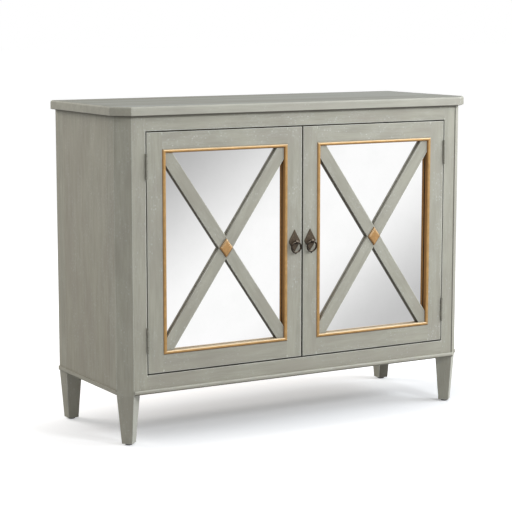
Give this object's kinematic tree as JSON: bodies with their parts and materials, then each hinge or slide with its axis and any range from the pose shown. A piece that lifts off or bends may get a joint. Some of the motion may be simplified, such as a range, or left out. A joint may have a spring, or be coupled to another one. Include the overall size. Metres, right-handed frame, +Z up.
{
  "type": "mirrored chiffonier cabinet",
  "caption": "Painted chiffonier cabinet with canted front corners, tapered legs and hinged mirrored doors behind an X lattice with gilt beads and ring pulls.",
  "frame": {"origin": "on the floor, at the middle of the cabinet's footprint box", "axes": "+X to the right seen from the front, +Y to the back, +Z up; the doors face -Y"},
  "size_m": [1.016, 0.378, 0.804],
  "materials": {
    "grey_paint": "brushed grey-green chalk paint, dry-brushed and lightly worn",
    "inner_paint": "plain grey-green paint",
    "bare_wood": "bare sawn wood",
    "back_board": "thin brown board",
    "gilt": "antique gold leaf on wood",
    "mirror": "silvered glass",
    "dark_bronze": "oil-rubbed dark bronze",
    "hinge_metal": "painted steel, worn",
    "steel": "zinc-plated steel",
    "glide_plastic": "black nail-on glide",
    "catch_plastic": "moulded catch body"
  },
  "bodies": {
    "cabinet": {"top_panel": "grey_paint", "front_top_rail": "grey_paint", "front_bottom_rail": "grey_paint", "front_base_bead": "grey_paint", "bottom_panel": "inner_paint", "back_panel": "back_board", "rear_top_rail": "bare_wood", "rear_bottom_rail": "bare_wood", "adjustable_shelf": "inner_paint", "shelf_pins": "steel", "floor_glides": "glide_plastic", "top_screws": "steel", "back_screws": "steel", "top_cleats": "bare_wood", "hinge_pins": "hinge_metal", "hinge_frame_leaves": "hinge_metal", "frame_hinge_screws": "steel", "magnet_catches": "catch_plastic", "left_side_panel": "grey_paint", "left_front_post": "grey_paint", "left_rear_post": "grey_paint", "left_base_bead": "grey_paint", "right_side_panel": "grey_paint", "right_front_post": "grey_paint", "right_rear_post": "grey_paint", "right_base_bead": "grey_paint"},
    "left_door": {"left_door_hinge_stile": "grey_paint", "left_door_lock_stile": "grey_paint", "left_door_top_rail": "grey_paint", "left_door_bottom_rail": "grey_paint", "left_door_gilt_bead": "gilt", "left_door_mirror": "mirror", "left_door_back_board": "back_board", "left_door_rising_bar": "grey_paint", "left_door_falling_bar": "grey_paint", "left_door_diamond": "gilt", "left_door_hinge_leaves": "hinge_metal", "left_door_hinge_screws": "steel", "left_door_board_clips": "steel", "left_door_strike_plate": "steel", "left_pull_plate": "dark_bronze", "left_pull_post": "dark_bronze"},
    "right_door": {"right_door_hinge_stile": "grey_paint", "right_door_lock_stile": "grey_paint", "right_door_top_rail": "grey_paint", "right_door_bottom_rail": "grey_paint", "right_door_gilt_bead": "gilt", "right_door_mirror": "mirror", "right_door_back_board": "back_board", "right_door_rising_bar": "grey_paint", "right_door_falling_bar": "grey_paint", "right_door_diamond": "gilt", "right_door_hinge_leaves": "hinge_metal", "right_door_hinge_screws": "steel", "right_door_board_clips": "steel", "right_door_strike_plate": "steel", "right_pull_plate": "dark_bronze", "right_pull_post": "dark_bronze"},
    "left_ring": {"left_pull_ring": "dark_bronze"},
    "right_ring": {"right_pull_ring": "dark_bronze"}
  },
  "joints": [
    {"name": "left_door_hinge", "type": "hinge", "parent": "cabinet", "child": "left_door", "pos_m": [-0.427, -0.1769, 0.45775], "axis": [0, 0, -1], "range_deg": [0, 170]},
    {"name": "right_door_hinge", "type": "hinge", "parent": "cabinet", "child": "right_door", "pos_m": [0.427, -0.1769, 0.45775], "axis": [0, 0, 1], "range_deg": [0, 170]},
    {"name": "left_ring_swing", "type": "hinge", "parent": "left_door", "child": "left_ring", "pos_m": [-0.0225, -0.184, 0.46075], "axis": [-1, 0, 0], "range_deg": [-4, 153]},
    {"name": "right_ring_swing", "type": "hinge", "parent": "right_door", "child": "right_ring", "pos_m": [0.0225, -0.184, 0.46075], "axis": [-1, 0, 0], "range_deg": [-4, 153]}
  ]
}
